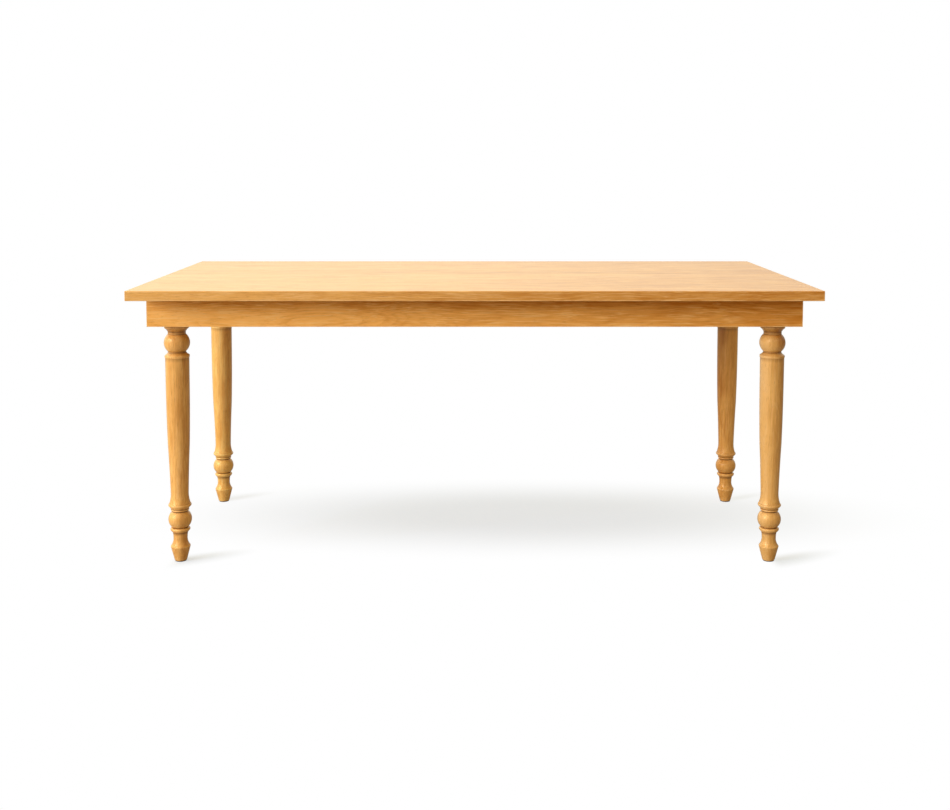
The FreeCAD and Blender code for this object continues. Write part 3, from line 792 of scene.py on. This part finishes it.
class TABLE_OT_apron(bpy.types.Operator):
    """Four mitred oak rails under the top"""
    bl_idname = "table.apron"
    bl_label = "Apron"

    def execute(self, context):
        plans = {
            # grain, pith, tone, coolness, how much deeper the wood is painted towards the right
            # (painted shade)
            "front_rail": ((1.0, 0.012, 0.010), (0, -300, 672), 1.11, 0.945, 0.37),
            "back_rail": ((1.0, -0.010, 0.012), (0, 300, 700), 1.12, 0.91, 0.37),
            "left_rail": ((0.010, 1.0, 0.012), (-810, 0, 690), 1.12, 0.92, 0.0),
            "right_rail": ((-0.012, 1.0, -0.010), (815, 0, 700), 1.10, 0.91, 0.0),
        }
        box = box_of(*plans)
        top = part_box("front_rail")[1].z
        for number, (rail, (along, pith, tone, cool, painted_shading)) in enumerate(plans.items()):
            # Painted shade and painted shadow: each rail is painted deeper over its top 50 mm
            # under the top, with a dark painted line right under it
            dress(rail, oak_material(
                "oak_" + rail, along, pith, 21.0 + 3.1 * number, tone, cool, box=box,
                painted_shading=painted_shading, painted_shade_band=(top - 0.05, top, 0.58), pores=0.3, streaks=0.60,
                fibres=1.1, coat=0.06, mirror=0.16))
        return {"FINISHED"}


class TABLE_OT_turned_legs(bpy.types.Operator):
    """Four turned oak legs, each in one piece with its square block"""
    bl_idname = "table.turned_legs"
    bl_label = "Turned legs"

    def execute(self, context):
        turning = context.scene.table_turning
        plans = {
            # pith across, pith behind, tone, coolness, how much deeper the wood is painted to the
            # right, the height from which painted shade deepens it towards the apron, and by how
            # much
            "front_left": (58, 40, 1.04, 1.035, 5.0, 0.573, 0.26),
            "front_right": (-64, 52, 0.888, 1.03, 21.0, 0.573, 0.75),
            "back_left": (47, -66, 1.235, 1.022, 6.0, 0.50, 0.30),
            "back_right": (-52, -58, 0.965, 0.97, -8.0, 0.50, 0.35),
        }
        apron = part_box("front_rail")[0].z
        for number, (side, signs) in enumerate(LEG_SIDES.items()):
            node = "leg_" + side
            low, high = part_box(node)
            centre = (low + high) / 2
            across, behind, tone, cool, painted_shading, shade, shade_depth = plans[side]
            pith = (centre.x * PER_METRE + across, centre.y * PER_METRE + behind, 0)
            # Painted light and shade: each leg is painted paler on one side and deeper on the
            # other, about a line just right of its axis, and deeper up to the apron with a dark
            # painted line at its top
            material = oak_material(
                "oak_leg_" + side, (0.012, -0.010, 1.0), pith, 43.0 + 3.7 * number, tone, cool,
                turned=True, painted_shading=painted_shading, middle=centre.x + 0.01,
                painted_shade_band=(shade, apron, shade_depth), streaks=0.90, fibres=0.8, coat=1.0,
                polish=0.28)
            rings, marks = leg_rings(low, high, signs, turning)
            mesh = ring_mesh("turned_leg_" + side, rings, marks)
            add_piece("turned_leg_" + side, mesh, material, "leg_oak", node)
        return {"FINISHED"}


class TABLE_OT_inner_frame(bpy.types.Operator):
    """Corner braces, cross bearers and top buttons, in plainer oak"""
    bl_idname = "table.inner_frame"
    bl_label = "Inner frame"

    def execute(self, context):
        plain = {"pores": 0.6, "roughness": 0.55, "coat": 0.0, "figure": 0.45}
        for number, (side, signs) in enumerate(LEG_SIDES.items()):
            node = "corner_brace_" + side
            centre = box_of(node)[0] * PER_METRE
            dress(node, oak_material(
                "oak_brace_" + side, (signs[0], -signs[1], 0.02),
                (centre.x + 30 * signs[0], centre.y, centre.z - 45), 60.0 + 1.9 * number,
                0.96 + 0.03 * (number % 2), 0.98, **plain))
        for number, side in enumerate(("left", "right")):
            node = side + "_cross_bearer"
            centre = box_of(node)[0] * PER_METRE
            dress(node, oak_material(
                "oak_bearer_" + side, (0.012, 1.0, 0.01), (centre.x + 40, 0, centre.z - 50),
                70.0 + 2.3 * number, 0.98, 0.99, box=box_of(node), **plain))
        dress("top_buttons", oak_material(
            "oak_buttons", (0.02, 1.0, 0.01), (35, 0, 640), 80.0, 0.97, 0.98, **plain))
        return {"FINISHED"}


class TABLE_OT_biscuits(bpy.types.Operator):
    """Beech biscuits in the seams of the top and across the mitres"""
    bl_idname = "table.biscuits"
    bl_label = "Biscuits"

    def execute(self, context):
        beech = oak_material("beech_biscuit", (1.0, 0.9, 0.0), (0, 0, 300), 90.0, 1.0, 1.25,
                             pores=0.2, rays=0.5, figure=0.2, roughness=0.6, coat=0.0)
        for node in ("top_biscuits", "mitre_biscuits"):
            dress(node, beech)
        return {"FINISHED"}


class TABLE_OT_hardware(bpy.types.Operator):
    """Zinc-plated screws, hanger bolts, washers and nuts"""
    bl_idname = "table.hardware"
    bl_label = "Hardware"

    def execute(self, context):
        zinc, g, shader = new_material("zinc_plate", Metallic=1.0)
        place = g.place()
        clouds = g.noise(place, (160.0, 160.0, 160.0), 3.0, 0.6)
        grains = g.noise(place, (1400.0, 1400.0, 1400.0))
        g.feed(shader, {
            "Base Color": g.mix(g.band(clouds, 0.3, 0.7), opaque((0.50, 0.51, 0.52)),
                                opaque((0.68, 0.68, 0.66))),
            "Roughness": g.band(clouds, 0.25, 0.75, 0.28, 0.46),
            "Normal": g.bump(g.times(grains, 0.00002))})
        for node in ("hanger_bolts", "bolt_washers", "bolt_nuts", "brace_screws",
                     "bearer_screws", "button_screws"):
            dress(node, zinc)
        return {"FINISHED"}


class TABLE_OT_foot_glides(bpy.types.Operator):
    """Brown felt glides under the feet"""
    bl_idname = "table.foot_glides"
    bl_label = "Foot glides"

    def execute(self, context):
        turning = context.scene.table_turning
        felt, g, shader = new_material("brown_felt", Roughness=0.95, Sheen_Weight=0.4,
                                       Sheen_Roughness=0.5)
        hairs = g.noise(g.place(), (900.0, 900.0, 2200.0), 3.0, 0.65, 1.2)
        g.feed(shader, {
            "Base Color": g.mix(g.band(hairs, 0.35, 0.65), opaque((0.055, 0.030, 0.018)),
                                opaque((0.16, 0.10, 0.06))),
            "Normal": g.bump(g.times(hairs, 0.0004))})
        for side in LEG_SIDES:
            node = "foot_glide_" + side
            mesh = ring_mesh("felt_glide_" + side, glide_rings(*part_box(node), turning.sides))
            add_piece("felt_glide_" + side, mesh, felt, "glide_felt", node)
        return {"FINISHED"}


class TABLE_OT_studio(bpy.types.Operator):
    """Pale floor, soft lights and the camera"""
    bl_idname = "table.studio"
    bl_label = "Studio"

    def execute(self, context):
        studio = context.scene.table_studio
        self.floor(context, studio)
        self.world(context, studio)
        self.lights(context, studio)
        self.camera(context, studio)
        context.scene.view_settings.view_transform = "Standard"
        return {"FINISHED"}

    def floor(self, context, studio):
        """White to the camera but for the table's soft shadows, and plain grey to other rays."""
        mesh = bpy.data.meshes.new("studio_floor")
        mesh.from_pydata([(x * FLOOR_HALF, y * FLOOR_HALF, 0)
                          for x, y in ((-1, -1), (1, -1), (1, 1), (-1, 1))], [], [(0, 1, 2, 3)])
        floor = bpy.data.objects.new("studio_floor", mesh)
        context.scene.collection.objects.link(floor)
        material = bpy.data.materials.new("studio_floor")
        g = blank_graph(material)
        _, seen = g.seen()
        place = g.place()
        depth = g.math("MAXIMUM", self.table_shadow(g, place, studio.shadow),
                       self.foot_shadows(g, place))
        white = g.out("Emission", {"Color": WHITE, "Strength": 1.0})
        lit = g.out("BsdfDiffuse", {"Color": opaque(LIT_FLOOR)})
        bounce = g.out("BsdfDiffuse", {"Color": opaque([studio.floor_bounce] * 3)})
        pale = g.blend(depth, white, lit)
        g.node("OutputMaterial", {0: g.blend(seen, bounce, pale)})
        mesh.materials.append(material)

    def table_shadow(self, g, place, depth):
        """The broad patch under the table that isn't quite white."""
        away = g.vector("SUBTRACT", place, SHADOW_CENTRE)
        away = g.vector("LENGTH", g.vector("MULTIPLY", away, SHADOW_SHAPE))
        return g.times(g.band(away, 0.22, 1.08, 1.0, 0.0), depth)

    def foot_shadows(self, g, place):
        """A short slanting patch to the right of each foot, fainter at the back."""
        feet = box_of(*("foot_glide_" + side for side in LEG_SIDES))[1]
        nearest = g.vector("MULTIPLY", g.vector("SIGN", place), (feet.x, feet.y, 0.0))
        x, y, _ = g.parts(g.vector("SUBTRACT", place, nearest))
        slanted = g.minus(y, g.times(x, FOOT_SHADOW_SLANT))
        away = g.out("CombineXYZ", {
            0: g.times(g.minus(x, FOOT_SHADOW_START), FOOT_SHADOW_SHAPE[0]),
            1: g.times(slanted, FOOT_SHADOW_SHAPE[1])})
        away = g.vector("LENGTH", away)
        _, back, _ = g.parts(place)
        return g.times(g.band(away, 0.0, 1.0, FOOT_SHADOW_DEPTH, 0.0), g.band(x, -0.02, 0.015),
                       g.band(back, -0.25, 0.25, 1.0, 0.58))

    def world(self, context, studio):
        """White to the camera, a room to mirrors and an even warm light to everything else.

        The mirrored room is bright behind the table, and has a pale wall with a window in it
        at the front left.
        """
        world = bpy.data.worlds.new("studio_world")
        context.scene.world = world
        g = blank_graph(world)
        path, seen = g.seen()
        ray = g.node("TexCoord").outputs["Generated"]
        x, y, z = g.parts(ray)
        behind = g.minus(g.times(y, 0.87), g.times(x, 0.7))
        wall = g.band(g.vector("DOT_PRODUCT", ray, WALL_WAY), 0.70, 0.96, 0.0, 0.6)
        window = g.band(g.vector("DOT_PRODUCT", ray, WINDOW_WAY), 0.93, 0.985, 0.0, 6.5)
        bright = g.plus(g.band(behind, -0.3, 1.1, 0.0, 0.96), g.plus(wall, window),
                        g.band(z, 0.0, 0.35, 0.12, 0.6))
        even = g.times(g.band(x, -0.9, 0.9, 1.26, 0.88), studio.ambient)
        mirrored = g.out("Background", {"Color": opaque((1.0, 0.963, 0.815)),
                                        "Strength": bright})
        room = g.out("Background", {"Color": opaque((1.0, 0.85, 0.46)), "Strength": even})
        white = g.out("Background", {"Color": WHITE, "Strength": 1.0})
        unseen = g.blend(path["Is Glossy Ray"], room, mirrored)
        g.node("OutputWorld", {0: g.blend(seen, unseen, white)})

    def lights(self, context, studio):
        """A large soft light low at the left and one above."""
        for name, place, size, colour, power in LAMPS:
            light = bpy.data.lights.new(name, "AREA")
            light.shape = "RECTANGLE"
            light.size, light.size_y = size
            light.energy = getattr(studio, power)
            light.color = colour
            lamp = bpy.data.objects.new(name, light)
            context.scene.collection.objects.link(lamp)
            lamp.location = place
            lamp.visible_glossy = False
            way = Vector(LAMP_TARGET) - lamp.location
            lamp.rotation_euler = way.to_track_quat("-Z", "Y").to_euler()

    def camera(self, context, studio):
        """Where the photograph was taken from."""
        data = bpy.data.cameras.new("camera")
        data.sensor_width = SENSOR_WIDTH
        data.lens = studio.lens
        data.shift_x, data.shift_y = CAMERA_SHIFT
        camera = bpy.data.objects.new("camera", data)
        context.scene.collection.objects.link(camera)
        camera.location = CAMERA_PLACE
        camera.rotation_euler = (math.pi / 2 - CAMERA_DIP, 0.0, 0.0)
        context.scene.camera = camera


class TABLE_PT_sidebar(bpy.types.Panel):
    """The steps that build the table, in order"""
    bl_idname = "TABLE_PT_sidebar"
    bl_label = "Dining table"
    bl_space_type = "VIEW_3D"
    bl_region_type = "UI"
    bl_category = "Dining table"

    def draw(self, context):
        layout = self.layout
        for settings in (context.scene.table_oak, context.scene.table_turning,
                         context.scene.table_studio):
            column = layout.column(align=True)
            for label in settings.__annotations__:
                column.prop(settings, label)
        for step in STEPS:
            layout.operator(step.bl_idname)


STEPS = (TABLE_OT_top_boards, TABLE_OT_apron, TABLE_OT_turned_legs, TABLE_OT_inner_frame,
         TABLE_OT_biscuits, TABLE_OT_hardware, TABLE_OT_foot_glides, TABLE_OT_studio)
CLASSES = (OakSettings, TurningSettings, StudioSettings, *STEPS, TABLE_PT_sidebar)


def register():
    for one in CLASSES:
        bpy.utils.register_class(one)
    bpy.types.Scene.table_oak = PointerProperty(type=OakSettings)
    bpy.types.Scene.table_turning = PointerProperty(type=TurningSettings)
    bpy.types.Scene.table_studio = PointerProperty(type=StudioSettings)


def unregister():
    del bpy.types.Scene.table_studio
    del bpy.types.Scene.table_turning
    del bpy.types.Scene.table_oak
    for one in reversed(CLASSES):
        bpy.utils.unregister_class(one)


def main():
    """Builds everything in order."""
    register()
    for step in STEPS:
        getattr(bpy.ops.table, step.bl_idname.split(".")[1])()


if __name__ == "__main__":
    main()
